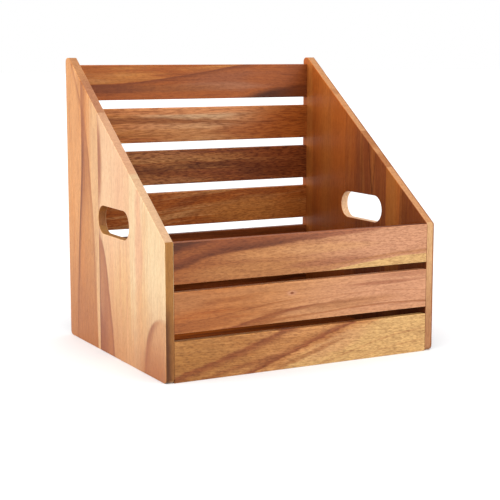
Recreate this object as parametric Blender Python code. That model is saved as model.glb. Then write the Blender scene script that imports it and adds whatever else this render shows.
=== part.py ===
"""Slatted acacia display crate with sloping sides, as a kit of separate boards.

Two side panels, each edge-glued from three staves, are cut to a sloping outline and
pierced by a hand hole. Six slats close the back, three slats close the front, and a
base board of three staves lies between them. Blind dowels, two at each slat end and one
at each base stave end, hold the boards to the panels.

Units are metres. +X is to the right, +Y to the back, +Z up, with the origin on the
table under the middle of the crate.
"""

import math

import bmesh
import bpy
from mathutils import Matrix, Vector

MM = 0.001

# Overall sizes
WIDTH = 350 * MM
DEPTH = 289.5 * MM

# Boards
BOARD = 10.6 * MM  # thickness of the side panels and the base
SLAT = 10 * MM  # thickness of the slats
BACK_SLAT_WIDTH = 43.7 * MM
BACK_SLATS = 6
BACK_GAP = 10.8 * MM
FRONT_SLAT_WIDTH = 45.3 * MM
FRONT_SLATS = 3
FRONT_GAP = 8.6 * MM
BASE_STAVES = 3

# Side panels
CREST_RISE = 8.9 * MM  # panel above the top back slat
CREST_FLAT = 11 * MM  # level stretch at the top, before the slope
CORNER_RADIUS = 6 * MM
SLOPE_RADIUS = 2 * MM  # rounding of the two blunt corners at the slope's ends
EASED_EDGE = 0.8 * MM
CORNER_STEPS = 6
SLOPE_STEPS = 2

# Hand hole: a slot with round ends
HOLE_LENGTH = 93 * MM
HOLE_HEIGHT = 33.3 * MM
HOLE_CENTRE_HEIGHT = 158.9 * MM
HOLE_CENTRE_DEPTH = -1.3 * MM  # its middle from the middle of the panel's depth
HOLE_STEPS = 12  # along each round end

# Glue seams between a panel's staves, from the ends of its hand hole:
# (front seam this far in front of the hole, back seam this far inside the hole's end)
LEFT_SEAMS = (10.7 * MM, 2.3 * MM)
RIGHT_SEAMS = (9.7 * MM, 9.2 * MM)

# Dowels
DOWEL_RADIUS = 3 * MM
DOWEL_LENGTH = 20 * MM
DOWEL_BITE = 6 * MM  # depth in the side panel; the rest is in the slat
DOWEL_SPREAD = 12 * MM  # each dowel's distance from the slat's middle line
DOWEL_CHAMFER = 0.6 * MM
DOWEL_SIDES = 12
DOWEL_FIT = 0.15 * MM  # radial room for glue
DOWEL_END_ROOM = 0.5 * MM  # glue pocket past each end of the dowel

GLUE_LINE = 0.3 * MM  # between boards that touch
OVERRUN = 5 * MM  # how far a cutter runs past what it cuts

# Worked out from the sizes above
HALF_WIDTH = WIDTH / 2
HALF_DEPTH = DEPTH / 2
BACK_PITCH = BACK_SLAT_WIDTH + BACK_GAP
FRONT_PITCH = FRONT_SLAT_WIDTH + FRONT_GAP
FRONT_HEIGHT = FRONT_SLATS * FRONT_SLAT_WIDTH + (FRONT_SLATS - 1) * FRONT_GAP
TOP_SLAT_EDGE = BOARD + BACK_SLATS * BACK_PITCH
HEIGHT = TOP_SLAT_EDGE + CREST_RISE
PANEL_INSIDE = HALF_WIDTH - BOARD  # distance of a panel's inner face from the middle
SLAT_LENGTH = 2 * (PANEL_INSIDE - GLUE_LINE)
BASE_FRONT = -HALF_DEPTH + SLAT + GLUE_LINE
BASE_STAVE_WIDTH = (HALF_DEPTH - BASE_FRONT - (BASE_STAVES - 1) * GLUE_LINE) / BASE_STAVES
SIDES = {"left": -1, "right": 1}


def clear_scene():
    for item in list(bpy.data.objects):
        bpy.data.objects.remove(item)


def wood(name, colour, roughness):
    """A plain oiled wood: colour is linear RGB."""
    material = bpy.data.materials.new(name)
    material.use_nodes = True
    shader = material.node_tree.nodes["Principled BSDF"]
    shader.inputs["Base Color"].default_value = (*colour, 1)
    shader.inputs["Roughness"].default_value = roughness
    shader.inputs["Metallic"].default_value = 0
    material.diffuse_color = (*colour, 1)
    return material


def new_mesh(name, shape):
    """Turns a bmesh into a mesh datablock with faces pointing out."""
    bmesh.ops.recalc_face_normals(shape, faces=shape.faces)
    mesh = bpy.data.meshes.new(name)
    shape.to_mesh(mesh)
    shape.free()
    mesh.materials.append(None)
    return mesh


def place(name, mesh, parent, location=(0, 0, 0), material=None):
    item = bpy.data.objects.new(name, mesh)
    bpy.context.scene.collection.objects.link(item)
    item.parent = parent
    item.location = location
    if material:
        item.material_slots[0].link = "OBJECT"
        item.material_slots[0].material = material
    return item


def group(name, parent=None):
    """An empty that carries the boards of one part of the crate."""
    return place(name, None, parent)


def helper(name, mesh, parent, location=(0, 0, 0)):
    """A cutter: it shapes boards and isn't one."""
    item = place(name, mesh, parent, location)
    item.hide_render = True
    item.display_type = "WIRE"
    return item


def cut(board, operation, tool):
    modifier = board.modifiers.new(operation.lower(), "BOOLEAN")
    modifier.operation = operation
    modifier.solver = "EXACT"
    modifier.object = tool


def box(size):
    """A block of this size, centred on its own origin."""
    shape = bmesh.new()
    bmesh.ops.create_cube(shape, size=1, matrix=Matrix.Diagonal((*size, 1)))
    return shape


def run(edge):
    """How far an edge goes along x."""
    return abs(edge.verts[0].co.x - edge.verts[1].co.x)


def ease(shape, offset, edges):
    """Takes the sharpness off these edges with one flat."""
    bmesh.ops.bevel(shape, geom=edges, offset=offset, segments=1, affect="EDGES")


def rounded_outline(corners):
    """Points of a closed (y, z) outline whose corners are (y, z, radius, steps)."""
    points = []
    for index, (y, z, radius, steps) in enumerate(corners):
        corner = Vector((y, z))
        before = (Vector(corners[index - 1][:2]) - corner).normalized()
        after = (Vector(corners[(index + 1) % len(corners)][:2]) - corner).normalized()
        half_angle = before.angle(after) / 2
        centre = corner + (before + after).normalized() * radius / math.sin(half_angle)
        start = corner + before * radius / math.tan(half_angle) - centre
        sweep = math.pi - 2 * half_angle
        turn = 1 if before.cross(after) < 0 else -1
        for step in range(steps + 1):
            spun = Matrix.Rotation(turn * sweep * step / steps, 2) @ start
            points.append(centre + spun)
    return points


def slot_outline(length, height, steps):
    """Points of a slot with round ends, long in y, centred on its own origin."""
    radius = height / 2
    reach = length / 2 - radius
    points = []
    for side in (1, -1):
        for step in range(steps + 1):
            angle = -math.pi / 2 + math.pi * step / steps
            spot = Vector((reach + radius * math.cos(angle), radius * math.sin(angle)))
            points.append(side * spot)
    return points


def skin(sections):
    """A closed solid through sections, each (x, outline), all with as many points."""
    shape = bmesh.new()
    rings = [[shape.verts.new((x, *point)) for point in outline] for x, outline in sections]
    for ring, following in zip(rings, rings[1:]):
        for index in range(len(ring)):
            after = (index + 1) % len(ring)
            shape.faces.new((ring[index], ring[after], following[after], following[index]))
    shape.faces.new(rings[0])
    shape.faces.new(rings[-1])
    return shape


def panel_mesh():
    """One side panel before it is pierced, its middle plane at x = 0, with eased rims."""
    outline = rounded_outline(
        (
            (-HALF_DEPTH, 0, CORNER_RADIUS, CORNER_STEPS),
            (HALF_DEPTH, 0, CORNER_RADIUS, CORNER_STEPS),
            (HALF_DEPTH, HEIGHT, CORNER_RADIUS, CORNER_STEPS),
            (HALF_DEPTH - CREST_FLAT, HEIGHT, SLOPE_RADIUS, SLOPE_STEPS),
            (-HALF_DEPTH, FRONT_HEIGHT, SLOPE_RADIUS, SLOPE_STEPS),
        )
    )
    shape = skin(((-BOARD / 2, outline), (BOARD / 2, outline)))
    ease(shape, EASED_EDGE, [edge for edge in shape.edges if run(edge) < BOARD / 2])
    return new_mesh("side_panel", shape)


def hand_hole_mesh():
    """The router's path through a panel: a slot that flares at both faces."""
    flare = EASED_EDGE + OVERRUN
    plain = slot_outline(HOLE_LENGTH, HOLE_HEIGHT, HOLE_STEPS)
    flared = slot_outline(HOLE_LENGTH + 2 * flare, HOLE_HEIGHT + 2 * flare, HOLE_STEPS)
    mouth = BOARD / 2 - EASED_EDGE
    outside = BOARD / 2 + OVERRUN
    sections = ((-outside, flared), (-mouth, plain), (mouth, plain), (outside, flared))
    return new_mesh("hand_hole", skin(sections))


def rods_mesh(name, spots, radius, start, end):
    """Round rods along x from start to end, one at each (y, z) spot, as one cutter."""
    shape = bmesh.new()
    for y, z in spots:
        middle = Matrix.Translation(((start + end) / 2, y, z))
        bmesh.ops.create_cone(
            shape,
            cap_ends=True,
            segments=DOWEL_SIDES,
            radius1=radius,
            radius2=radius,
            depth=abs(end - start),
            matrix=middle @ Matrix.Rotation(math.pi / 2, 4, "Y"),
        )
    return new_mesh(name, shape)


def dowel_mesh():
    """A dowel pin along x, its end edges chamfered."""
    shape = bmesh.new()
    bmesh.ops.create_cone(
        shape,
        cap_ends=True,
        segments=DOWEL_SIDES,
        radius1=DOWEL_RADIUS,
        radius2=DOWEL_RADIUS,
        depth=DOWEL_LENGTH,
        matrix=Matrix.Rotation(math.pi / 2, 4, "Y"),
    )
    ease(shape, DOWEL_CHAMFER, [edge for edge in shape.edges if run(edge) < DOWEL_LENGTH / 2])
    return new_mesh("dowel", shape)


def board_mesh(name, size):
    """A straight board along x whose four long edges are eased."""
    shape = box(size)
    ease(shape, EASED_EDGE, [edge for edge in shape.edges if run(edge) > size[0] / 2])
    return new_mesh(name, shape)


def seams(side):
    """The y of a panel's front and back glue seams."""
    land, overlap = LEFT_SEAMS if side == "left" else RIGHT_SEAMS
    front = HOLE_CENTRE_DEPTH - HOLE_LENGTH / 2 - land
    back = HOLE_CENTRE_DEPTH + HOLE_LENGTH / 2 - overlap
    return front, back


def build_panel(side, parent, blank, hand_hole, spots, materials):
    """Saws one side panel into its three staves and pierces them."""
    outward = SIDES[side]
    middle = outward * (HALF_WIDTH - BOARD / 2)
    hole_centre = (middle, HOLE_CENTRE_DEPTH, HOLE_CENTRE_HEIGHT)
    hole = helper(f"{side}_hand_hole_cutter", hand_hole, parent, hole_centre)
    pocket_end = PANEL_INSIDE + DOWEL_BITE + DOWEL_END_ROOM
    pockets = rods_mesh(
        f"{side}_pockets",
        spots,
        DOWEL_RADIUS + DOWEL_FIT,
        outward * (PANEL_INSIDE - OVERRUN),
        outward * pocket_end,
    )
    drilled = helper(f"{side}_dowel_cutter", pockets, parent)
    front_seam, back_seam = seams(side)
    spans = {
        "front": (-HALF_DEPTH - OVERRUN, front_seam - GLUE_LINE / 2),
        "middle": (front_seam + GLUE_LINE / 2, back_seam - GLUE_LINE / 2),
        "back": (back_seam + GLUE_LINE / 2, HALF_DEPTH + OVERRUN),
    }
    for name, (start, end) in spans.items():
        size = (BOARD + 2 * OVERRUN, end - start, HEIGHT + 2 * OVERRUN)
        saw = new_mesh(f"{side}_{name}_saw", box(size))
        share = helper(f"{side}_{name}_saw", saw, parent, (middle, (start + end) / 2, HEIGHT / 2))
        stave = place(f"{side}_panel_stave_{name}", blank, parent, (middle, 0, 0), materials[name])
        cut(stave, "INTERSECT", share)
        cut(stave, "DIFFERENCE", hole)
        cut(stave, "DIFFERENCE", drilled)


def build_board(name, mesh, parent, location, material, dowel_drops, dowels):
    """A board between the panels, drilled at both ends, with its dowels.

    dowel_drops maps a name for each dowel at an end to its height over the board's middle.
    """
    board = place(name, mesh, parent, location, material)
    depth = DOWEL_LENGTH - DOWEL_BITE + DOWEL_END_ROOM
    for side, outward in SIDES.items():
        pockets = rods_mesh(
            f"{name}_{side}_pockets",
            [(0, drop) for drop in dowel_drops.values()],
            DOWEL_RADIUS + DOWEL_FIT,
            outward * (PANEL_INSIDE + OVERRUN),
            outward * (PANEL_INSIDE - depth),
        )
        cut(board, "DIFFERENCE", helper(f"{name}_{side}_cutter", pockets, parent, location))
        across = outward * (PANEL_INSIDE + DOWEL_BITE - DOWEL_LENGTH / 2)
        for spot, drop in dowel_drops.items():
            label = "_".join(filter(None, ("dowel", name, side, spot)))
            centre = Vector(location) + Vector((across, 0, drop))
            place(label, dowels["mesh"], dowels["parent"], centre, dowels["material"])


def slat_rows():
    """Every slat as (name, centre, wall)."""
    y = HALF_DEPTH - SLAT / 2
    for row in range(BACK_SLATS):
        z = TOP_SLAT_EDGE - BACK_SLAT_WIDTH / 2 - row * BACK_PITCH
        yield f"back_slat_{row + 1}", (0, y, z), "back"
    for row in range(FRONT_SLATS):
        z = FRONT_HEIGHT - FRONT_SLAT_WIDTH / 2 - row * FRONT_PITCH
        yield f"front_slat_{row + 1}", (0, -y, z), "front"


def base_rows():
    """Every base stave as (name, centre)."""
    names = ["front", *["middle"] * (BASE_STAVES - 2), "back"]
    for row, name in enumerate(names):
        y = BASE_FRONT + BASE_STAVE_WIDTH / 2 + row * (BASE_STAVE_WIDTH + GLUE_LINE)
        label = f"base_stave_{name}" if names.count(name) == 1 else f"base_stave_{name}_{row}"
        yield label, (0, y, BOARD / 2)


def build():
    clear_scene()
    crate = group("crate")
    names = ("left_side", "right_side", "back", "front", "base", "dowels")
    walls = {name: group(name, crate) for name in names}
    panel_woods = {
        "front": wood("acacia_cream", (0.62, 0.36, 0.19), 0.38),
        "middle": wood("acacia_sand", (0.60, 0.32, 0.15), 0.38),
        "back": wood("acacia_amber", (0.56, 0.25, 0.09), 0.38),
    }
    slat_woods = {
        "front": wood("acacia_tan", (0.45, 0.20, 0.08), 0.38),
        "back": wood("acacia_russet", (0.27, 0.09, 0.03), 0.38),
    }
    base_wood = wood("acacia_brown", (0.33, 0.13, 0.05), 0.42)
    dowels = {
        "mesh": dowel_mesh(),
        "parent": walls["dowels"],
        "material": wood("beech", (0.55, 0.38, 0.22), 0.6),
    }
    slats = {
        "front": board_mesh("front_slat", (SLAT_LENGTH, SLAT, FRONT_SLAT_WIDTH)),
        "back": board_mesh("back_slat", (SLAT_LENGTH, SLAT, BACK_SLAT_WIDTH)),
    }
    base = board_mesh("base_stave", (SLAT_LENGTH, BASE_STAVE_WIDTH, BOARD))
    slat_drops = {"upper": DOWEL_SPREAD, "lower": -DOWEL_SPREAD}
    spots = []
    for name, centre, wall in slat_rows():
        build_board(
            name, slats[wall], walls[wall], centre, slat_woods[wall], slat_drops, dowels
        )
        spots += [(centre[1], centre[2] + drop) for drop in slat_drops.values()]
    for name, centre in base_rows():
        build_board(name, base, walls["base"], centre, base_wood, {"": 0}, dowels)
        spots.append(centre[1:])
    blank = panel_mesh()
    hand_hole = hand_hole_mesh()
    for side in SIDES:
        build_panel(side, walls[f"{side}_side"], blank, hand_hole, spots, panel_woods)


build()
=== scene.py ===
"""A slatted acacia display crate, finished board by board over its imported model."""

import math

import bmesh
import bpy
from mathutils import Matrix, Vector


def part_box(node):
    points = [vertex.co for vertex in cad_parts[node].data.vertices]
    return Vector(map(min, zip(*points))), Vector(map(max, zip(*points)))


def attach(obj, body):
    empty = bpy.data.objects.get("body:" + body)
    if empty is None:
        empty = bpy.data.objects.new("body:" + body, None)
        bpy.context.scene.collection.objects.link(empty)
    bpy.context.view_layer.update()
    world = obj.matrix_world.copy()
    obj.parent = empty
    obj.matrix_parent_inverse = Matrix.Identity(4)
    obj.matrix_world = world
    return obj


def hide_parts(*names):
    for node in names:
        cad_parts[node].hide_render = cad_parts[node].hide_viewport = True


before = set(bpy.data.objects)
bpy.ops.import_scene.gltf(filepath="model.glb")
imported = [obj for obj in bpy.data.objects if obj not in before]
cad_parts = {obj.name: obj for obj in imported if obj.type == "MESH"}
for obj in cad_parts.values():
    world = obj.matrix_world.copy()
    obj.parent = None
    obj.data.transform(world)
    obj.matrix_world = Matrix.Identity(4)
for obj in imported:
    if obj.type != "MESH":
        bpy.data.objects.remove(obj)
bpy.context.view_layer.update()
MM = 0.001

# ---------------------------------------------------------------------------------------
# The back: six slats of solid acacia, planed all round, their long edges eased with
# abrasive paper. Each is glued between the side panels on two blind dowels at each end.

SLAT_ARRIS = 0.9 * MM
ARRIS_STEPS = 4
END_ROOM = 0.05 * MM  # a hair of glue between a slat's end and its panel


class Wire:
    """A value, colour or shape in a node tree. Sums on a value add Math nodes."""

    def __init__(self, tree, socket=None):
        self.tree = tree
        self.socket = socket

    def feed(self, entry, value):
        if isinstance(value, Wire):
            self.tree.links.new(value.socket, entry)
        else:
            entry.default_value = value

    def node(self, kind, sockets=None, out=0, stops=None, bends=None, **settings):
        """Adds a node: its settings first, then its sockets. Gives the outputs asked for."""
        made = self.tree.nodes.new(kind)
        for name, value in settings.items():
            setattr(made, name, value)
        if stops:
            marks = made.color_ramp.elements
            while len(marks) < len(stops):
                marks.new(1)
            for mark, (position, shade) in zip(marks, stops):
                mark.position = position
                mark.color = (*shade, 1)
        if bends:
            points = made.mapping.curves[0].points
            while len(points) < len(bends):
                points.new(1, 1)
            for point, spot in zip(points, bends):
                point.location = spot
            made.mapping.update()
        for name, value in (sockets or {}).items():
            self.feed(made.inputs[name], value)
        if isinstance(out, tuple):
            return [Wire(self.tree, made.outputs[each]) for each in out]
        return Wire(self.tree, made.outputs[out])

    def sum(self, operation, *values):
        return self.node("ShaderNodeMath", dict(enumerate(values)), operation=operation)

    def __add__(self, other):
        return self.sum("ADD", self, other)

    def __sub__(self, other):
        return self.sum("SUBTRACT", self, other)

    def __rsub__(self, other):
        return self.sum("SUBTRACT", other, self)

    def __mul__(self, other):
        return self.sum("MULTIPLY", self, other)

    def __truediv__(self, other):
        return self.sum("DIVIDE", self, other)

    def __pow__(self, other):
        return self.sum("POWER", self, other)

    def __neg__(self):
        return self * -1

    __radd__ = __add__
    __rmul__ = __mul__

    def root(self):
        return self.sum("SQRT", self)

    def size(self):
        return self.sum("ABSOLUTE", self)

    def fraction(self):
        return self.sum("FRACT", self)

    def rise(self, low, high):
        """0 below low and 1 above high, with a soft start and end. High may be below low."""
        if low > high:
            return 1 - self.rise(high, low)
        return self.node(
            "ShaderNodeMapRange",
            {"Value": self, "From Min": low, "From Max": high},
            interpolation_type="SMOOTHSTEP",
        )

    def colour(self, under, over, blend="MIX"):
        """Lays one colour over another by this much."""
        under, over = ((*shade, 1) if isinstance(shade, tuple) else shade for shade in (under, over))
        return self.node(
            "ShaderNodeMix", {0: self, 6: under, 7: over}, out=2, data_type="RGBA", blend_type=blend
        )

    def tint(self, under, over):
        """Multiplies a colour by another by this much."""
        return self.colour(under, over, "MULTIPLY")


def board_tree():
    """One board of a wall: an eased rectangle swept along X and set down in its row."""
    tree = bpy.data.node_groups.new("board of a wall", "GeometryNodeTree")
    kinds = {
        "Length": "Float",
        "Thickness": "Float",
        "Width": "Float",
        "Arris": "Float",
        "First Place": "Vector",
        "Step": "Vector",
        "Row": "Int",
        "Wood": "Material",
    }
    for name, kind in kinds.items():
        tree.interface.new_socket(name, in_out="INPUT", socket_type="NodeSocket" + kind)
    tree.interface.new_socket("Board", in_out="OUTPUT", socket_type="NodeSocketGeometry")
    start = Wire(tree)
    names = tuple(kinds)
    given = dict(zip(names, start.node("NodeGroupInput", out=names)))
    half = given["Length"] / 2
    middle_line = start.node(
        "GeometryNodeCurvePrimitiveLine",
        {
            "Start": start.node("ShaderNodeCombineXYZ", {"X": -half}),
            "End": start.node("ShaderNodeCombineXYZ", {"X": half}),
        },
    )
    square = start.node(
        "GeometryNodeCurvePrimitiveQuadrilateral",
        {"Width": given["Thickness"], "Height": given["Width"]},
    )
    eased = start.node(
        "GeometryNodeFilletCurve",
        {"Curve": square, "Count": ARRIS_STEPS, "Radius": given["Arris"]},
        mode="POLY",
    )
    swept = start.node(
        "GeometryNodeCurveToMesh",
        {"Curve": middle_line, "Profile Curve": eased, "Fill Caps": True},
    )
    stepped = start.node(
        "ShaderNodeVectorMath", {0: given["Step"], "Scale": given["Row"]}, operation="SCALE"
    )
    place = start.node(
        "ShaderNodeVectorMath", {0: given["First Place"], 1: stepped}, operation="ADD"
    )
    row_point = start.node("GeometryNodeMeshLine", {"Count": 1, "Start Location": place})
    set_down = start.node("GeometryNodeInstanceOnPoints", {"Points": row_point, "Instance": swept})
    whole = start.node("GeometryNodeRealizeInstances", {"Geometry": set_down})
    finished = start.node(
        "GeometryNodeSetMaterial", {"Geometry": whole, "Material": given["Wood"]}
    )
    start.node("NodeGroupOutput", {"Board": finished}, out=())
    return tree


def plain_mesh(item):
    """Turns an object's evaluated shape into its own mesh and drops its modifiers."""
    bpy.context.view_layer.update()
    shaped = item.evaluated_get(bpy.context.evaluated_depsgraph_get())
    mesh = bpy.data.meshes.new_from_object(shaped)
    mesh.name = item.name
    item.modifiers.clear()
    item.data = mesh
    return item


SQUARE_ON = 0.9999  # how far a flat face's normal lies along an axis


def round_the_arrises(item):
    """Flats stay flat and only the narrow roundings between them are shaded smooth."""
    for face in item.data.polygons:
        face.use_smooth = max(map(abs, face.normal)) < SQUARE_ON


def lay_board(node, first, second, row, arris, wood):
    """Makes the board that stands for a node, in the row that starts at the first node."""
    low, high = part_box(first)
    step = Vector(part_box(second)[0]) - Vector(low)
    item = bpy.data.objects.new(node + "_wood", bpy.data.meshes.new(node))
    bpy.context.scene.collection.objects.link(item)
    sweep = item.modifiers.new("board", "NODES")
    sweep.node_group = BOARD
    given = {
        "Length": high[0] - low[0] + 2 * PANEL_GAP - 2 * END_ROOM,
        "Thickness": high[1] - low[1],
        "Width": high[2] - low[2],
        "Arris": arris,
        "First Place": (Vector(low) + Vector(high)) / 2,
        "Step": step,
        "Row": row,
        "Wood": wood,
    }
    for socket in BOARD.interface.items_tree:
        if socket.name in given:
            sweep[socket.identifier] = given[socket.name]
    plain_mesh(item)
    round_the_arrises(item)
    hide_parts(node)
    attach(item, "root")
    return item


# Acacia's colours, as linear red, green and blue
PALE = (0.74, 0.47, 0.27)
CREAM = (0.55, 0.39, 0.215)
BLUSH = (0.555, 0.335, 0.185)
GLOW = (0.62, 0.24, 0.085)
PEACH = (0.51, 0.29, 0.135)
APRICOT = (0.485, 0.235, 0.10)
GOLD = (0.54, 0.32, 0.12)
OCHRE = (0.40, 0.168, 0.05)
SALMON = (0.50, 0.235, 0.125)
HONEY = (0.49, 0.22, 0.075)
AMBER = (0.47, 0.17, 0.036)
TAN = (0.36, 0.145, 0.05)
OLIVE = (0.31, 0.132, 0.028)
CHESTNUT = (0.27, 0.08, 0.018)
RUSSET = (0.35, 0.088, 0.014)
MAUVE = (0.27, 0.085, 0.035)
PLUM = (0.20, 0.048, 0.012)
UMBER = (0.13, 0.03, 0.006)
BARK = (0.055, 0.012, 0.003)

# What the finer marks of the wood, the painted sheen and the painted arris highlight multiply those colours
# by
RING_TINT = (0.6, 0.48, 0.4)
STREAK_TINT = (0.5, 0.37, 0.28)
MOTTLE_SHEEN_TINT = (1.35, 1.4, 1.42)
FLECK_TINT = (0.45, 0.32, 0.24)
PORE_TINT = (0.5, 0.38, 0.32)
ARRIS_HIGHLIGHT_TINT = (1.4, 1.5, 1.6)


class Grain:
    """The wood of one board, read in millimetres along, across and through it."""

    def __init__(self, name, lie, centre, seed, wander, lean):
        self.material = bpy.data.materials.new(name)
        self.material.use_nodes = True
        self.material.node_tree.nodes.clear()
        self.start = Wire(self.material.node_tree)
        self.seed = seed
        place = self.start.node("ShaderNodeTexCoord", out="Object")
        axes = self.start.node("ShaderNodeSeparateXYZ", {0: place}, out=(0, 1, 2))
        spots = dict(zip("xyz", ((axis - middle) / MM for axis, middle in zip(axes, centre))))
        self.along, self.edge, self.through = (spots[letter] for letter in lie)
        normal = self.start.node("ShaderNodeNewGeometry", out="Normal")
        turns = dict(zip("xyz", self.start.node("ShaderNodeSeparateXYZ", {0: normal}, out=(0, 1, 2))))
        self.flat = turns[lie[2]].size()
        self.rim = self.flat.rise(0.6, 0.3)
        # the grain drifts off the board's straight edges, in long waves and short ripples
        self.across = self.edge
        drift = (self.cloud(170, 45, 45, 1, 1) - 0.5) * (2 * wander)
        ripple = (self.cloud(32, 11, 20, 2, 2) - 0.5) * (0.5 * wander)
        self.across = self.edge - drift - ripple - self.along * lean

    def cloud(self, along, across, through, detail, place, skew=0):
        """Soft noise from 0 to 1 whose clumps have about this many millimetres each way."""
        run = self.along + self.across * skew if skew else self.along
        spot = self.start.node(
            "ShaderNodeCombineXYZ",
            {
                "X": run / along + (self.seed * 7.31 + place * 3.7),
                "Y": self.across / across + (self.seed * 3.17 + place * 9.1),
                "Z": self.through / through + self.seed * 1.9,
            },
        )
        return self.start.node(
            "ShaderNodeTexNoise",
            {"Vector": spot, "Scale": 1.0, "Detail": detail, "Roughness": 0.55},
            out="Fac",
        )

    def line(self, spots):
        """How far across the board a smooth line through a few (along, across) spots lies."""
        length, width = 400, 120  # of the sheet that the curve is drawn on, wider than any board
        bends = [(along / length + 0.5, across / width + 0.5) for along, across in spots]
        share = self.along / length + 0.5
        return (self.start.node("ShaderNodeFloatCurve", {"Value": share}, bends=bends) - 0.5) * width

    def kept(self, mask, strength, fades, where):
        """Weakens a mask, lets it die away from its full to its empty place along the board,
        and keeps it to the sawn edges or to the broad faces."""
        mask = mask * strength
        if fades:
            mask = mask * self.along.rise(fades[1], fades[0])
        if where == "edges":
            mask = mask * self.rim
        if where == "faces":
            mask = mask * (1 - self.rim)
        return mask


def acacia(
    name,
    lie,
    centre,
    seed,
    tones,
    figures=(),
    wander=3.0,
    lean=0.0,
    rings=0.35,
    streaks=0.5,
    flecks=0.3,
    fleck=(5, 1.1),
    mottle_sheen=0.3,
    shine=0.22,
):
    """Solid acacia: a drifting ground of three tones, the heartwood figures, painted shade and painted
    light that this one board shows, then growth rings, streaks, a cross figure painted as a pale sheen,
    flecks and pores over them all, and a painted highlight along the arrises."""
    grain = Grain(name, lie, centre, seed, wander, lean)
    broad = grain.cloud(230, 13, 16, 2, 3)
    fine = grain.cloud(70, 2.2, 3, 3, 4)
    dark, middle, light = tones
    colour = grain.start.node(
        "ShaderNodeValToRGB",
        {0: broad * 0.65 + fine * 0.35},
        stops=((0.38, dark), (0.5, middle), (0.62, light)),
    )
    rag = grain.cloud(26, 3.2, 6, 3, 5) - 0.5
    for figure in figures:
        mask, shade = figure(grain, rag)
        colour = mask.colour(colour, shade)

    # growth rings, eleven to the noise's range, each darkening towards its late wood
    year = (grain.cloud(320, 17, 26, 1, 10) * 11).fraction()
    colour = (year**3 * rings).tint(colour, RING_TINT)
    # dark streaks along the grain, gathered in places
    lines = grain.cloud(110, 1.3, 2.2, 2, 6).rise(0.5, 0.72)
    gathered = grain.cloud(70, 14, 16, 1, 7).rise(0.38, 0.62)
    colour = (lines * gathered * streaks).tint(colour, STREAK_TINT)
    # the wood's cross figure, painted as a pale sheen that lies across the grain
    cross = grain.cloud(9, 3.2, 5, 2, 8, skew=1.1).rise(0.36, 0.64)
    colour = (cross * mottle_sheen).tint(colour, MOTTLE_SHEEN_TINT)
    # short flecks, then the open pores
    grit = grain.cloud(*fleck, 1.4, 2, 11, skew=0.12).rise(0.46, 0.62)
    colour = (grit * flecks).tint(colour, FLECK_TINT)
    pores = grain.cloud(6, 0.34, 0.42, 1, 9).rise(0.6, 0.72)
    colour = (pores * 0.5).tint(colour, PORE_TINT)
    # a painted highlight along the rounded arrises, where light would catch them
    arris_highlight = grain.flat.rise(0.1, 0.4) * grain.flat.rise(0.99, 0.85)
    colour = (arris_highlight * (fine * 0.6 + 0.3)).tint(colour, ARRIS_HIGHLIGHT_TINT)

    raised = cross * 0.25 + fine * 0.5 - pores - grit * 0.3
    bump = grain.start.node(
        "ShaderNodeBump", {"Strength": 0.12, "Distance": 0.3 * MM, "Height": raised}
    )
    shader = grain.start.node(
        "ShaderNodeBsdfPrincipled",
        {
            "Base Color": colour,
            "Roughness": pores * 0.2 + fine * 0.1 + grain.rim * 0.08 + 0.35,
            "Normal": bump,
            "Specular IOR Level": shine,
        },
    )
    grain.start.node("ShaderNodeOutputMaterial", {"Surface": shader}, out=())
    return grain.material


def vein(
    shade, *spots, above=2.0, below=2.0, ragged=0.6, strength=1.0, fades=None, where=None, depth=False
):
    """A coloured line through a few spots, gone this far above it and this far below it. With
    depth the spots lie through the board's thickness."""

    def draw(grain, rag):
        off = (grain.through if depth else grain.edge) - grain.line(spots) + rag * (4 * ragged)
        return grain.kept(off.rise(above, 0) * off.rise(-below, 0), strength, fades, where), shade

    return draw


def field(shade, *spots, side=1, soft=1.0, ragged=0.6, strength=1.0, fades=None, where=None):
    """All the wood above a line through a few spots, or below it where side is -1."""

    def draw(grain, rag):
        off = (grain.edge - grain.line(spots) + rag * (4 * ragged)) * side
        return grain.kept(off.rise(-soft, soft), strength, fades, where), shade

    return draw


def patch(shade, at, size, lean=0.0, soft=0.45, ragged=0.5, strength=1.0, fades=None, where=None):
    """A long patch of another colour: at (along, across), with half its size each way."""

    def draw(grain, rag):
        run = grain.along - at[0]
        rise = grain.edge - at[1] - run * lean + rag * (ragged * size[1])
        reach = (run / size[0]) ** 2 + (rise / size[1]) ** 2
        return grain.kept(reach.root().rise(1 + soft, 1 - soft), strength, fades, where), shade

    return draw


BOARD = board_tree()
PANEL_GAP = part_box("back_slat_1")[0][0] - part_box("left_panel_stave_back")[1][0]


def middle_of(node):
    """The middle of a node's box."""
    low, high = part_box(node)
    return tuple((start + end) / 2 for start, end in zip(low, high))


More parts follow.
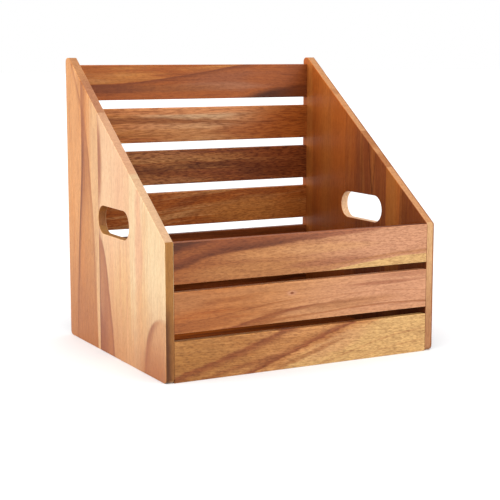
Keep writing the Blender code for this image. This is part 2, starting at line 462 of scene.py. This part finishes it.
# Each slat's wood, its places in millimetres along and across it from its centre
BACK_LOOKS = {
    1: dict(
        tones=(RUSSET, AMBER, HONEY),
        figures=(
            field(RUSSET, (-164, -3), (-110, -1), (-64, 3), (2, 12), (52, 20), (110, 28), side=-1),
            patch(MAUVE, (60, 2), (75, 12), ragged=1, strength=0.7),
            patch(SALMON, (30, -6), (60, 5), ragged=1.4, strength=0.3),
            patch(RUSSET, (105, 3), (36, 7), ragged=1, strength=0.7),
            patch(CHESTNUT, (-60, -8), (100, 5), ragged=1, strength=0.7),
            vein(PLUM, (-164, -4), (-110, -2), (-64, 2), (2, 11), (52, 19), (110, 27), above=1, below=6,
                 strength=0.85),
            patch(PLUM, (-140, -9), (60, 6), ragged=0.8, strength=0.9),
            patch(RUSSET, (-150, 14), (40, 10), strength=0.6),
            patch(BARK, (132, -17), (62, 9), lean=0.12, strength=0.95),
            # painted shade: the slat darkens towards its right end, in the inner corner by the right panel
            patch(PLUM, (178, 0), (46, 40), soft=0.9, strength=0.8),
        ),
        flecks=0.25,
        shine=0.18,
    ),
    2: dict(
        tones=(RUSSET, AMBER, HONEY),
        figures=(
            patch(GLOW, (-10, 2), (105, 17), ragged=1.2, strength=0.7),
            patch(BLUSH, (0, 14), (75, 8), ragged=1.2, strength=0.75),
            patch(CREAM, (15, -2), (85, 17), ragged=1.4, soft=0.8, strength=0.35),
            patch(GLOW, (-20, 18), (125, 5), ragged=1, strength=0.9),
            patch(CHESTNUT, (-75, 6), (75, 4), ragged=1.6, lean=-0.02, strength=0.85),
            patch(CHESTNUT, (20, 3), (55, 2.5), ragged=2, lean=-0.03, strength=0.7),
            patch(AMBER, (-40, -11), (90, 6), ragged=1, strength=0.5),
            patch(RUSSET, (90, -10), (70, 9), ragged=1, strength=0.7),
            # painted shade: the slat darkens towards its right end, in the inner corner by the right panel
            patch(RUSSET, (155, -4), (80, 40), soft=0.7),
        ),
        rings=0.4,
        streaks=0.8,
        flecks=0.6,
        fleck=(13, 1.3),
        shine=0.14,
    ),
    3: dict(
        tones=(PLUM, CHESTNUT, OCHRE),
        figures=(
            patch(TAN, (-60, 15), (60, 6), ragged=1.5, strength=0.6),
            patch(TAN, (-50, -17), (60, 4), ragged=1.5, strength=0.6),
            patch(UMBER, (-80, -4), (60, 6), ragged=1.2, strength=0.6),
            patch(UMBER, (30, 1), (75, 4), ragged=1.6, strength=0.8),
            patch(BARK, (108, -8), (45, 9), ragged=1, strength=0.8),
            # painted shade: the slat darkens towards its right end, in the inner corner by the right panel
            patch(PLUM, (150, 6), (75, 40), soft=0.8, strength=0.9),
        ),
        rings=0.4,
        streaks=0.9,
        flecks=0.9,
        fleck=(9, 1.3),
        mottle_sheen=0.7,
        shine=0.14,
    ),
    4: dict(
        tones=(CHESTNUT, RUSSET, HONEY),
        figures=(
            patch(PLUM, (-14, 9), (28, 5), lean=0.35, ragged=1.2, strength=0.5),
            patch(PLUM, (32, 2), (48, 4), lean=0.25, ragged=1.2, strength=0.5),
            patch(PLUM, (82, 8), (32, 4), lean=0.2, ragged=1.2, strength=0.4),
            patch(AMBER, (95, -6), (85, 16), ragged=1, strength=0.85),
            # painted shade: the slat darkens towards its right end, in the inner corner by the right panel
            patch(RUSSET, (155, 4), (40, 26), strength=0.4),
        ),
        flecks=0.6,
        fleck=(7, 1.3),
        mottle_sheen=0.5,
        lean=0.06,
        shine=0.12,
    ),
    # the two lowest slats are painted dark: painted shade for the deep bottom of the crate
    5: dict(tones=(UMBER, PLUM, CHESTNUT), streaks=0.8, shine=0.08),
    6: dict(tones=(BARK, UMBER, PLUM), shine=0.02),
}
for number, look in BACK_LOOKS.items():
    node = f"back_slat_{number}"
    wood = acacia(node + "_acacia", "xzy", middle_of(node), number, **look)
    slat = lay_board(node, "back_slat_1", "back_slat_2", number - 1, SLAT_ARRIS, wood)

# ---------------------------------------------------------------------------------------
# The front: three slats like the back's, of lighter boards, set flush with the panels'
# front edges. They darken towards the left and pale towards the right: partly the wood
# running from heartwood into sapwood, partly painted shade and painted light.

FRONT_LOOKS = {
    1: dict(
        tones=(TAN, TAN, HONEY),
        figures=(
            # darker towards the left end and paler towards the right: partly heartwood and sapwood, partly
            # painted shade and painted light
            patch(SALMON, (130, 6), (110, 30), soft=0.8, strength=0.9),
            patch(CHESTNUT, (-190, -4), (130, 60), soft=0.8),
            patch(OCHRE, (-60, -14), (80, 9), ragged=1.2, strength=0.6),
            patch(HONEY, (-20, 4), (75, 6), lean=0.03, ragged=1, strength=0.6),
            patch(APRICOT, (30, 4), (60, 5), ragged=1.2, strength=0.6),
            patch(MAUVE, (30, -12), (55, 4), lean=0.03, ragged=1, strength=0.6),
            field(PLUM, (-175, -9), (-150, -3), (-125, 5), (-65, 11), (-8, 15), (70, 20),
                  soft=3.5, strength=0.9, fades=(-60, 110)),
            field(MAUVE, (-30, 13), (20, 16), (70, 19), (120, 24), soft=1.5, fades=(20, -60), ragged=1.2,
                  strength=0.9),
            vein(UMBER, (-175, -8), (-150, -2), (-125, 6), (-65, 12), (-8, 16), (70, 21), above=8, below=4,
                 ragged=1.2, fades=(-60, 60)),
            patch(CHESTNUT, (-145, 11), (30, 4), lean=0.2, strength=0.6),
            field(BARK, (-175, 8), (-150, 16), (-118, 24), soft=5, strength=0.8),
            vein(TAN, (20, -19), (60, -14), (100, -10.5), (160, -8), above=2.5, below=3, ragged=1.2,
                 strength=0.8),
            field(GOLD, (20, -24), (60, -18.5), (100, -14.5), (130, -12.5), (175, -12), side=-1),
            field(MAUVE, (-175, 22), (175, 22), soft=0.3, ragged=0.02, where="edges"),
            field(UMBER, (-175, 22), (175, 22), soft=0.3, ragged=0.02, where="edges", fades=(130, 60)),
        ),
        flecks=0.45,
    ),
    2: dict(
        tones=(CHESTNUT, OCHRE, HONEY),
        figures=(
            # darker towards the left end and paler towards the right: partly heartwood and sapwood, partly
            # painted shade and painted light
            patch(SALMON, (135, 2), (130, 38), soft=0.8, strength=0.9),
            patch(RUSSET, (-170, 0), (110, 50), soft=0.8, strength=0.6),
            patch(TAN, (-175, 12), (60, 12), strength=0.7),
            patch(CHESTNUT, (-150, -16), (60, 6), lean=0.06, ragged=1, strength=0.7),
            patch(APRICOT, (15, -11), (50, 4), ragged=1.2, strength=0.6),
            patch(CHESTNUT, (-100, 9), (32, 2.5), lean=0.06, ragged=1.2, strength=0.6),
            patch(TAN, (-60, 17), (60, 3), lean=0.03, ragged=1.2, strength=0.5),
            vein(CHESTNUT, (-175, -12), (-120, -9), (-75, -3), (-50, 0), (-10, 3.5), (40, 5), above=1,
                 below=1.6, strength=0.75, fades=(-40, 30)),
            vein(PLUM, (-110, -23), (-85, -20), (-60, -14.5), (-40, -11), (-10, -7), (25, -5.5), (60, -4),
                 (120, -1), above=1.8, below=6, ragged=1.2, strength=0.9, fades=(-20, 110)),
            patch(CHESTNUT, (-52, -15), (26, 5), lean=0.3, ragged=1.2, strength=0.6),
            patch(TAN, (60, -8), (60, 5), lean=0.04, ragged=1.5, strength=0.6),
            vein(CHESTNUT, (-75, -24), (-30, -18), (20, -15.5), (80, -13), (150, -14), above=1.2, below=2.4,
                 ragged=0.9, strength=0.7),
            vein(CHESTNUT, (30, 1), (80, 3), (130, 1), (175, -3), above=1, below=1, strength=0.35),
            patch(MAUVE, (105, 12), (45, 2), ragged=1.4, strength=0.7),
            patch(MAUVE, (140, 20), (50, 3), ragged=1.4, strength=0.5),
            patch(SALMON, (-19, 10), (6, 3), strength=0.8),
            patch(PLUM, (-19, 10), (2.2, 1.4), soft=0.6, strength=0.95),
        ),
        flecks=0.3,
    ),
    3: dict(
        tones=(CHESTNUT, OCHRE, HONEY),
        figures=(
            field(GOLD, (-48, -24), (-20, -14), (0, -6), (30, 4), (60, 13), (90, 20), (110, 26), side=-1,
                  soft=6, ragged=2.5, strength=0.95),
            # darker towards the left end: partly the heartwood, partly painted shade
            patch(OLIVE, (-180, -6), (105, 50), soft=0.8, strength=0.7),
            patch(APRICOT, (40, 0), (40, 10), lean=0.3, ragged=1.4, strength=0.6),
            vein(PLUM, (-175, -20), (-150, -14), (-120, -6), (-100, 0), (-70, 9), (-45, 17), (-25, 24),
                 above=4, below=12, ragged=2.4, strength=0.85),
            vein(PLUM, (-130, -24), (-90, -14), (-50, -8), (-20, 1), above=6, below=6, ragged=2,
                 strength=0.6, fades=(-60, 0)),
            vein(PLUM, (-75, -24), (-60, -18), (-30, -8), (-8, -1), (25, 11), (58, 21), (70, 25), above=9,
                 below=2.5, ragged=1.6, strength=0.9),
            patch(CHESTNUT, (5, -8), (45, 3), lean=0.3, ragged=1.8, strength=0.6),
            vein(TAN, (25, -20), (70, -9), (108, 0), (175, 7), above=1.5, below=1.5, strength=0.5),
            vein(TAN, (60, -24), (110, -13), (175, -6), above=1.2, below=1.2, strength=0.4),
        ),
        flecks=0.45,
        fleck=(5.5, 1.5),
        mottle_sheen=0.5,
        lean=-0.05,
    ),
}
for number, look in FRONT_LOOKS.items():
    node = f"front_slat_{number}"
    wood = acacia(node + "_acacia", "xzy", middle_of(node), 10 + number, **look)
    slat = lay_board(node, "front_slat_1", "front_slat_2", number - 1, SLAT_ARRIS, wood)

# ---------------------------------------------------------------------------------------
# The base: three flat staves of acacia, glued edge to edge, lying between the panels and
# inside the front and back slats, a dowel in each end. They are painted dark brown, darker still
# towards the right, for the shade that fills the bottom of the crate.

BASE_LOOK = dict(
    # painted shade: dark tones for the crate's shadowed bottom, darker still towards the right panel
    tones=(UMBER, PLUM, RUSSET),
    figures=(patch(BARK, (90, 0), (120, 90), soft=0.9, strength=0.75),),
    shine=0,
)
for row, place in enumerate(("front", "middle", "back")):
    node = "base_stave_" + place
    wood = acacia(node + "_acacia", "xyz", middle_of(node), 20 + row, **BASE_LOOK)
    stave = lay_board(node, "base_stave_front", "base_stave_middle", row, SLAT_ARRIS, wood)

# ---------------------------------------------------------------------------------------
# The side panels: each is glued up from three upright staves, then cut to its sloping
# outline, its hand hole routed, and every edge rounded over and oiled.

CORNER_RADIUS = 6 * MM
SLOPE_RADIUS = 3 * MM
CREST_FLAT = 11 * MM
HOLE_LENGTH = 93 * MM
HOLE_HEIGHT = 33.3 * MM
HOLE_CENTRE = Vector((-1.3, 158.9)) * MM
HOLE_ARRIS = 1.4 * MM
PANEL_ARRIS = 1.0 * MM
SEAM = 0.04 * MM
CORNER_STEPS = 8
CREST_STEPS = 4
BROW_STEPS = 5
HOLE_STEPS = 20
SMALL_FACE = 1e-5  # square metres: faces of the tight curves, which are shaded smooth


def arc(centre, radius, start, end, steps):
    """Points and outward normals along an arc, from one angle to another in degrees."""
    for step in range(steps + 1):
        angle = math.radians(start + (end - start) * step / steps)
        outward = Vector((math.cos(angle), math.sin(angle)))
        yield centre + radius * outward, outward


def panel_outline(low, high, front_height):
    """The panel's (y, z) outline, anticlockwise from the front of its foot."""
    front, foot = low
    back, top = high
    run = back - CREST_FLAT - front
    slope = math.degrees(math.atan2(top - front_height, run))
    r = CORNER_RADIUS
    curve = SLOPE_RADIUS
    # how far before its point each of the slope's two ends starts to turn
    crest_reach = curve * math.tan(math.radians(slope / 2))
    brow_reach = curve * math.tan(math.radians((90 - slope) / 2))
    crest_centre = Vector((back - CREST_FLAT + crest_reach, top - curve))
    brow_centre = Vector((front + curve, front_height - brow_reach))
    return [
        *arc(Vector((front + r, foot + r)), r, 180, 270, CORNER_STEPS),
        *arc(Vector((back - r, foot + r)), r, 270, 360, CORNER_STEPS),
        *arc(Vector((back - r, top - r)), r, 0, 90, CORNER_STEPS),
        *arc(crest_centre, curve, 90, 90 + slope, CREST_STEPS),
        *arc(brow_centre, curve, 90 + slope, 180, BROW_STEPS),
    ]


def slot_outline(centre, length, height):
    """The (y, z) outline of a slot with round ends."""
    r = height / 2
    reach = Vector((length / 2 - r, 0))
    return [
        *arc(centre + reach, r, -90, 90, HOLE_STEPS),
        *arc(centre - reach, r, 90, 270, HOLE_STEPS),
    ]


def eased_sections(thickness, arris):
    """(x, inset) of each ring of a rim whose two arrises are rounded."""
    steps = ARRIS_STEPS
    for side in (-1, 1):
        order = range(steps + 1) if side < 0 else range(steps, -1, -1)
        for step in order:
            angle = math.pi / 2 * step / steps
            x = thickness / 2 - arris + arris * math.cos(angle)
            yield side * x, arris - arris * math.sin(angle)


def ring_wall(shape, x_middle, outline, thickness, arris, outward):
    """The rounded edge along an outline. Gives its rings at the panel's two faces."""
    rings = []
    for x, inset in eased_sections(thickness, arris):
        spots = [point - outward * inset * normal for point, normal in outline]
        rings.append([shape.verts.new((x_middle + x, *spot)) for spot in spots])
    for ring, following in zip(rings, rings[1:]):
        for index in range(len(ring)):
            after = (index + 1) % len(ring)
            shape.faces.new((ring[index], ring[after], following[after], following[index]))
    return rings[0], rings[-1]


def ring_edges(ring):
    """The edges that join a ring's neighbouring points."""
    for index in range(len(ring)):
        for edge in ring[index].link_edges:
            if edge.other_vert(ring[index]) is ring[(index + 1) % len(ring)]:
                yield edge


def panel_shape(side):
    """The whole glued-up panel with its hand hole, before it is parted into staves."""
    nodes = [f"{side}_panel_stave_{part}" for part in ("front", "middle", "back")]
    boxes = [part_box(node) for node in nodes]
    low = [min(box[0][axis] for box in boxes) for axis in range(3)]
    high = [max(box[1][axis] for box in boxes) for axis in range(3)]
    middle = (low[0] + high[0]) / 2
    thickness = high[0] - low[0]
    front_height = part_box("front_slat_1")[1][2]
    shape = bmesh.new()
    rim = ring_wall(
        shape, middle, panel_outline(low[1:], high[1:], front_height), thickness, PANEL_ARRIS, 1
    )
    hole = ring_wall(
        shape, middle, slot_outline(HOLE_CENTRE, HOLE_LENGTH, HOLE_HEIGHT), thickness, HOLE_ARRIS, -1
    )
    for outer, inner in zip(rim, hole):
        bmesh.ops.triangle_fill(
            shape, edges=[*ring_edges(outer), *ring_edges(inner)], use_beauty=True
        )
    return shape


def part_stave(shape, name, start, end, wood):
    """Saws the stave between two depths out of a panel. None leaves that side whole."""
    piece = shape.copy()
    for depth, keep in ((start, 1), (end, -1)):
        if depth is None:
            continue
        parts = [*piece.verts, *piece.edges, *piece.faces]
        bmesh.ops.bisect_plane(
            piece, geom=parts, plane_co=(0, depth, 0), plane_no=(0, -keep, 0), clear_outer=True
        )
        open_edges = [edge for edge in piece.edges if edge.is_boundary]
        bmesh.ops.holes_fill(piece, edges=open_edges)
    bmesh.ops.recalc_face_normals(piece, faces=piece.faces)
    mesh = bpy.data.meshes.new(name)
    piece.to_mesh(mesh)
    piece.free()
    mesh.materials.append(wood)
    item = bpy.data.objects.new(name + "_wood", mesh)
    bpy.context.scene.collection.objects.link(item)
    for face in mesh.polygons:
        face.use_smooth = abs(face.normal.x) < SQUARE_ON and face.area < SMALL_FACE
    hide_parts(name)
    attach(item, "root")
    return item


# The flame on the left back stave opens downwards between these two lines of its ring
FLAME_BACK = ((-175, 25), (-127, 22.6), (-77, 17.6), (-13, 9.2), (40, 2), (110, 1), (125, 1))
FLAME_FRONT = ((-175, -38), (-43, -36), (23, -27), (73, -17), (100, -9), (118, 0))
WEDGE = ((-175, 6), (-129, 9), (-79, 19), (-36, 29), (-14, 38), (0, 50))
CORNER = ((-110, 11), (-93, 9.5), (-75, 6), (-60, -0.5), (-43, -17), (-36, -43))


def flame(shade, strength, fades=None):
    """The pointed arch that one growth ring makes on a flat-sawn face."""

    def draw(grain, rag):
        behind = grain.line(FLAME_BACK) - grain.edge - rag * 3
        before = grain.edge - grain.line(FLAME_FRONT) - rag * 5
        return grain.kept(behind.rise(-1, 1) * before.rise(-3, 4), strength, fades, None), shade

    return draw


# Each stave's wood, its places in millimetres up it and towards the back from its centre
PANEL_LOOKS = {
    "left_back": dict(
        seed=31,
        slot="acacia_amber",
        tones=(AMBER, HONEY, HONEY),
        figures=(
            patch(PEACH, (20, -42), (150, 16), ragged=0.5, strength=0.9),
            flame(OCHRE, 0.7),
            flame(CHESTNUT, 0.4, (30, -30)),
            vein(CHESTNUT, *FLAME_BACK, above=1.5, below=24, ragged=0.8, strength=0.9, fades=(60, -160)),
            vein(CHESTNUT, *FLAME_FRONT, above=9, below=1.5, ragged=0.8, strength=0.6, fades=(40, -240)),
            patch(PLUM, (72, -5), (45, 2.5), lean=0.04, ragged=0.8, strength=0.5),
            patch(AMBER, (-90, 4), (70, 7), lean=-0.06, ragged=0.8, strength=0.5),
            vein(UMBER, *FLAME_BACK, above=1.5, below=8, strength=0.85, fades=(60, 90)),
            # painted shade: the stave darkens towards its foot, where less light falls
            patch(CHESTNUT, (-190, 0), (110, 90), soft=0.9, strength=0.8),
            patch(PEACH, (-80, -47), (120, 5), soft=0.2, ragged=0.2, strength=0.9),
            # painted shade on the hand hole's back wall, which faces forward out of the light
            patch(OLIVE, (-14, -50), (30, 25), strength=0.9, where="edges"),
            field(SALMON, (-175, -50), (175, -50), strength=0.7, where="edges", fades=(100, 60)),
            field(MAUVE, (-175, -20), (175, 10), side=-1, soft=14, strength=0.5, where="edges"),
            patch(OCHRE, (172, 24), (34, 40), soft=0.6, strength=0.6, where="edges"),
        ),
        flecks=0.15,
        shine=0.15,
    ),
    "left_middle": dict(
        seed=32,
        slot="acacia_sand",
        tones=(APRICOT, PEACH, PEACH),
        figures=(
            patch(BLUSH, (70, 10), (90, 70), soft=0.9, ragged=0.2, strength=0.9),
            field(SALMON, (-175, -80), (175, -80), strength=0.6, where="edges", fades=(90, 60)),
            patch(SALMON, (50, -12), (40, 12), soft=0.9, ragged=0.8, strength=0.35),
            patch(GOLD, (-90, -22), (60, 28), soft=0.7, strength=0.6),
            # painted shade: the stave darkens towards its foot, where less light falls
            patch(TAN, (-170, 0), (90, 90), soft=0.9, strength=0.9),
            patch(CHESTNUT, (84, 52), (50, 13), soft=0.3, ragged=0.3, strength=0.75),
            patch(PLUM, (88, 47), (30, 4), soft=0.6, strength=0.6),
            field(CHESTNUT, *WEDGE, soft=4, ragged=1, strength=0.85, fades=(-12, 4)),
            field(PLUM, (-175, 24), (-100, 32), (-20, 44), soft=12, strength=0.8),
            patch(TAN, (-60, 44), (40, 7), lean=0.06, strength=0.6),
            vein(PLUM, *WEDGE, above=7, below=1.5, ragged=0.8, strength=0.7, fades=(-20, 4)),
            vein(UMBER, (-175, 51), (0, 51), above=1, below=6, strength=0.6, fades=(-40, 0)),
            patch(APRICOT, (-60, -14), (60, 2.5), ragged=0.8, strength=0.8),
            patch(APRICOT, (-90, -33), (55, 2.5), ragged=0.8, strength=0.7),
            patch(TAN, (-110, -2), (40, 2), lean=0.03, ragged=0.8, strength=0.5),
            patch(CREAM, (20, -46), (110, 4), ragged=0.8, strength=0.7),
            # painted shade on the hand hole's walls, darkest on the upper wall, which faces down
            patch(OLIVE, (17, 7), (30, 60), soft=0.2, strength=0.95, where="edges"),
            patch(CHESTNUT, (30, 30), (12, 60), soft=0.6, strength=0.6, where="edges"),
        ),
        rings=0.2,
        streaks=0.2,
        flecks=0.08,
    ),
    "left_front": dict(
        seed=33,
        slot="acacia_cream",
        tones=(PEACH, CREAM, CREAM),
        figures=(
            patch(CREAM, (0, -20), (90, 22), soft=0.7, strength=0.8),
            patch(SALMON, (22, 27), (95, 10), ragged=1.6, strength=0.65),
            patch(GOLD, (-50, 20), (45, 18), ragged=1, soft=0.7, strength=0.5),
            # painted shade: the stave darkens towards its foot, where less light falls
            patch(TAN, (-130, 0), (80, 90), soft=0.9, strength=0.95),
            field(TAN, *CORNER, side=-1, soft=5, ragged=1, strength=0.65, fades=(-44, -32)),
            vein(PLUM, *CORNER, above=6, below=15, ragged=1, strength=0.75, fades=(-50, -34)),
            patch(CHESTNUT, (-112, -20), (32, 34), ragged=0.8, soft=0.9, strength=0.9),
            field(BLUSH, (-175, -80), (175, -80), where="edges"),
            field(OLIVE, (-175, -41.5), (175, -41.5), side=-1, soft=0.3, ragged=0.02, where="edges"),
            field(UMBER, (-175, -42.3), (175, -42.3), side=-1, soft=0.3, ragged=0.02, strength=0.5,
                  where="edges", fades=(-100, 30)),
            vein(BARK, (-175, -3), (-30, -4), (30, -6), above=7, below=5, ragged=0.5, strength=0.8,
                 depth=True, where="edges", fades=(-50, -5)),
        ),
        rings=0.2,
        streaks=0.2,
        flecks=0.12,
    ),
    "right_back": dict(
        seed=34,
        slot="acacia_amber",
        tones=(RUSSET, RUSSET, RUSSET),
        figures=(
            patch(AMBER, (40, -6), (150, 14), ragged=0.6, soft=0.9, strength=0.3),
            patch(CHESTNUT, (90, -14), (120, 3), ragged=1, soft=0.9, strength=0.3),
            patch(CHESTNUT, (-60, 22), (150, 5), ragged=0.8, strength=0.4),
            patch(AMBER, (40, 36), (170, 8), ragged=0.8, strength=0.5),
            # painted shade: the faces darken towards the foot, where shade gathers low inside the crate
            patch(UMBER, (-190, 0), (120, 90), soft=0.8, strength=0.85, where="faces"),
            field(APRICOT, (-175, -80), (175, -80), strength=0.9, where="edges"),
            patch(GLOW, (20, -30), (70, 40), soft=0.9, strength=0.4, where="edges"),
            patch(CHESTNUT, (110, -5), (26, 9), lean=-0.7, ragged=1.2, strength=0.5, where="edges"),
            patch(CHESTNUT, (60, -36), (30, 8), lean=-0.7, ragged=1.2, strength=0.4, where="edges"),
            vein(PLUM, (-175, 4.4), (175, 4.4), above=2, below=1.6, strength=0.7, depth=True, where="edges"),
            patch(PLUM, (172, -30), (10, 26), strength=0.5, where="edges"),
            # painted light on the hand hole's walls, which catch the light
            patch(PALE, (-14, -52), (30, 30), soft=0.2, where="edges"),
        ),
        streaks=0.3,
        flecks=0.15,
        shine=0.08,
    ),
    "right_middle": dict(
        seed=35,
        slot="acacia_sand",
        tones=(PLUM, PLUM, CHESTNUT),
        figures=(
            field(RUSSET, (-175, 22), (175, 22), soft=6, strength=0.6),
            # painted shade: the faces darken towards the foot, where shade gathers low inside the crate
            patch(BARK, (-160, 0), (115, 90), soft=0.7, strength=0.8, where="faces"),
            vein(UMBER, (-150, 4), (0, 7), (150, 9), above=1.5, below=3, strength=0.7),
            vein(BARK, (20, -18), (38, -16), (60, -12.5), (85, -9), above=1.5, below=1.5, strength=0.8),
            vein(BARK, (30, -15), (50, -18), (85, -23), above=1.2, below=1.2, strength=0.7),
            field(APRICOT, (-175, 12), (175, 12), strength=0.9, where="edges"),
            field(TAN, (-175, 12), (175, 12), side=-1, strength=0.9, where="edges"),
            vein(APRICOT, (-175, -20), (175, -20), above=9, below=9, ragged=2, strength=0.8, where="edges"),
            vein(PLUM, (-175, 4.2), (175, 4.2), above=2, below=2.2, strength=0.8, depth=True, where="edges"),
            # painted light on the hand hole's walls, which catch the light
            patch(PALE, (17, 10), (30, 60), soft=0.2, where="edges"),
        ),
        streaks=0.4,
        flecks=0.15,
        shine=0.08,
    ),
    "right_front": dict(
        seed=36,
        slot="acacia_cream",
        tones=(PLUM, PLUM, CHESTNUT),
        figures=(
            field(RUSSET, (-110, 16), (110, 13), soft=1, strength=0.9),
            patch(OLIVE, (0, 32), (200, 14), soft=0.8, ragged=0.3, strength=0.4, where="faces"),
            field(UMBER, (-110, 12), (110, 9), side=-1, soft=3, strength=0.5),
            # painted shade: the faces darken towards the foot, where shade gathers low inside the crate
            patch(BARK, (-120, 0), (115, 90), soft=0.6, strength=0.8, where="faces"),
            field(APRICOT, (-175, -80), (175, -80), strength=0.9, where="edges"),
            field(PEACH, (-175, -41.5), (175, -41.5), side=-1, soft=0.3, ragged=0.02, where="edges"),
            field(MAUVE, (-175, -41.5), (175, -41.5), side=-1, soft=0.3, ragged=0.02, strength=0.6,
                  where="edges", fades=(-110, 30)),
            vein(PLUM, (-175, 4.2), (175, 4.2), above=2, below=2, strength=0.8, depth=True, where="edges"),
        ),
        streaks=0.3,
        flecks=0.15,
        shine=0.08,
    ),
}
for side in ("left", "right"):
    shape = panel_shape(side)
    ends = [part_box(f"{side}_panel_stave_{part}") for part in ("front", "middle", "back")]
    front_seam, back_seam = ((ahead[1][1] + behind[0][1]) / 2 for ahead, behind in zip(ends, ends[1:]))
    cuts = {
        "front": (None, front_seam - SEAM / 2),
        "middle": (front_seam + SEAM / 2, back_seam - SEAM / 2),
        "back": (back_seam + SEAM / 2, None),
    }
    for part, (start, end) in cuts.items():
        node = f"{side}_panel_stave_{part}"
        look = PANEL_LOOKS[f"{side}_{part}"]
        slot = look.pop("slot")
        wood = acacia(node + "_acacia", "zyx", middle_of(node), **look)
        part_stave(shape, node, start, end, wood)
    shape.free()

# ---------------------------------------------------------------------------------------
# The dowels: forty-two pegs of plain beech rod, 6 mm across, glued blind into the slats' and
# the base's ends and into holes in the panels. Pale and pinkish, with short dark rays.

BEECH_SHADE = (0.44, 0.25, 0.12)
BEECH_LIGHT = (0.62, 0.41, 0.24)
BEECH_RAY_TINT = (0.55, 0.4, 0.3)

beech = bpy.data.materials.new("beech_rod")
beech.use_nodes = True
beech.node_tree.nodes.clear()
rod = Wire(beech.node_tree)
rod_place = rod.node("ShaderNodeTexCoord", out="Object")
rod_x, rod_y, rod_z = rod.node("ShaderNodeSeparateXYZ", {0: rod_place}, out=(0, 1, 2))


def beech_cloud(along, across, detail):
    """Soft noise from 0 to 1 drawn out along the rod, in millimetres each way."""
    spot = rod.node(
        "ShaderNodeCombineXYZ",
        {"X": rod_x / (along * MM), "Y": rod_y / (across * MM), "Z": rod_z / (across * MM)},
    )
    return rod.node("ShaderNodeTexNoise", {"Vector": spot, "Scale": 1.0, "Detail": detail}, out="Fac")


pith = beech_cloud(60, 3, 2)
hair = beech_cloud(9, 0.5, 3)
rays = beech_cloud(1.6, 0.3, 1).rise(0.6, 0.7)
beech_colour = (pith * 0.5 + hair * 0.5).rise(0.3, 0.7).colour(BEECH_SHADE, BEECH_LIGHT)
beech_colour = (rays * 0.7).tint(beech_colour, BEECH_RAY_TINT)
beech_bump = rod.node("ShaderNodeBump", {"Strength": 0.2, "Distance": 0.2 * MM, "Height": hair - rays})
beech_shader = rod.node(
    "ShaderNodeBsdfPrincipled",
    {"Base Color": beech_colour, "Roughness": hair * 0.15 + 0.5, "Normal": beech_bump},
)
rod.node("ShaderNodeOutputMaterial", {"Surface": beech_shader}, out=())
for name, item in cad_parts.items():
    if name.startswith("dowel_"):
        if not item.material_slots:
            item.data.materials.append(beech)
        for held in item.material_slots:
            held.material = beech

# ---------------------------------------------------------------------------------------
# The studio: a pale floor, white air all round, a broad key light low on the crate's left,
# a soft one above and a small one at the front right.

FLOOR_HALF = 20
FLOOR_COLOUR = (0.86, 0.87, 0.88)
CAMERA_LENS = 92.75
CAMERA_PLACE = (-0.7314, -1.3735, 0.3522)
CAMERA_TILT = 8.69  # degrees down from level
CAMERA_TURN = 28.2  # degrees round from looking straight at the front

floor_mesh = bpy.data.meshes.new("floor")
floor_shape = bmesh.new()
bmesh.ops.create_grid(floor_shape, x_segments=1, y_segments=1, size=FLOOR_HALF)
floor_shape.to_mesh(floor_mesh)
floor_shape.free()
floor = bpy.data.objects.new("floor", floor_mesh)
bpy.context.scene.collection.objects.link(floor)
floor_paint = bpy.data.materials.new("pale_floor")
floor_paint.use_nodes = True
paint = floor_paint.node_tree.nodes["Principled BSDF"].inputs
paint["Base Color"].default_value = (*FLOOR_COLOUR, 1)
paint["Roughness"].default_value = 1
paint["Specular IOR Level"].default_value = 0
floor_mesh.materials.append(floor_paint)

world = bpy.data.worlds.new("studio")
bpy.context.scene.world = world
world.use_nodes = True
air = world.node_tree.nodes["Background"].inputs
air["Color"].default_value = (1, 1, 1, 1)
air["Strength"].default_value = 1


def lamp(name, kind, power, toward, place=(0, 0, 0)):
    """Hangs a lamp that shines in a direction. Gives its light, whose width is then set."""
    light = bpy.data.lights.new(name, kind)
    light.energy = power
    item = bpy.data.objects.new(name, light)
    item.location = place
    item.rotation_euler = Vector(toward).to_track_quat("-Z", "Y").to_euler()
    bpy.context.scene.collection.objects.link(item)
    return light


lamp("key", "SUN", 2.5, (0.93, -0.16, -0.14)).angle = math.radians(35)
lamp("top", "SUN", 1.05, (0.12, 0.35, -0.93)).angle = math.radians(45)
lamp("side", "AREA", 3.2, (-0.6, 0.75, -0.2), (0.6, -0.85, 0.3)).size = 0.8

camera_data = bpy.data.cameras.new("camera")
camera_data.lens = CAMERA_LENS
camera = bpy.data.objects.new("camera", camera_data)
camera.location = CAMERA_PLACE
camera.rotation_euler = (math.radians(90 - CAMERA_TILT), 0, -math.radians(CAMERA_TURN))
bpy.context.scene.collection.objects.link(camera)
bpy.context.scene.camera = camera
bpy.context.scene.view_settings.view_transform = "Standard"
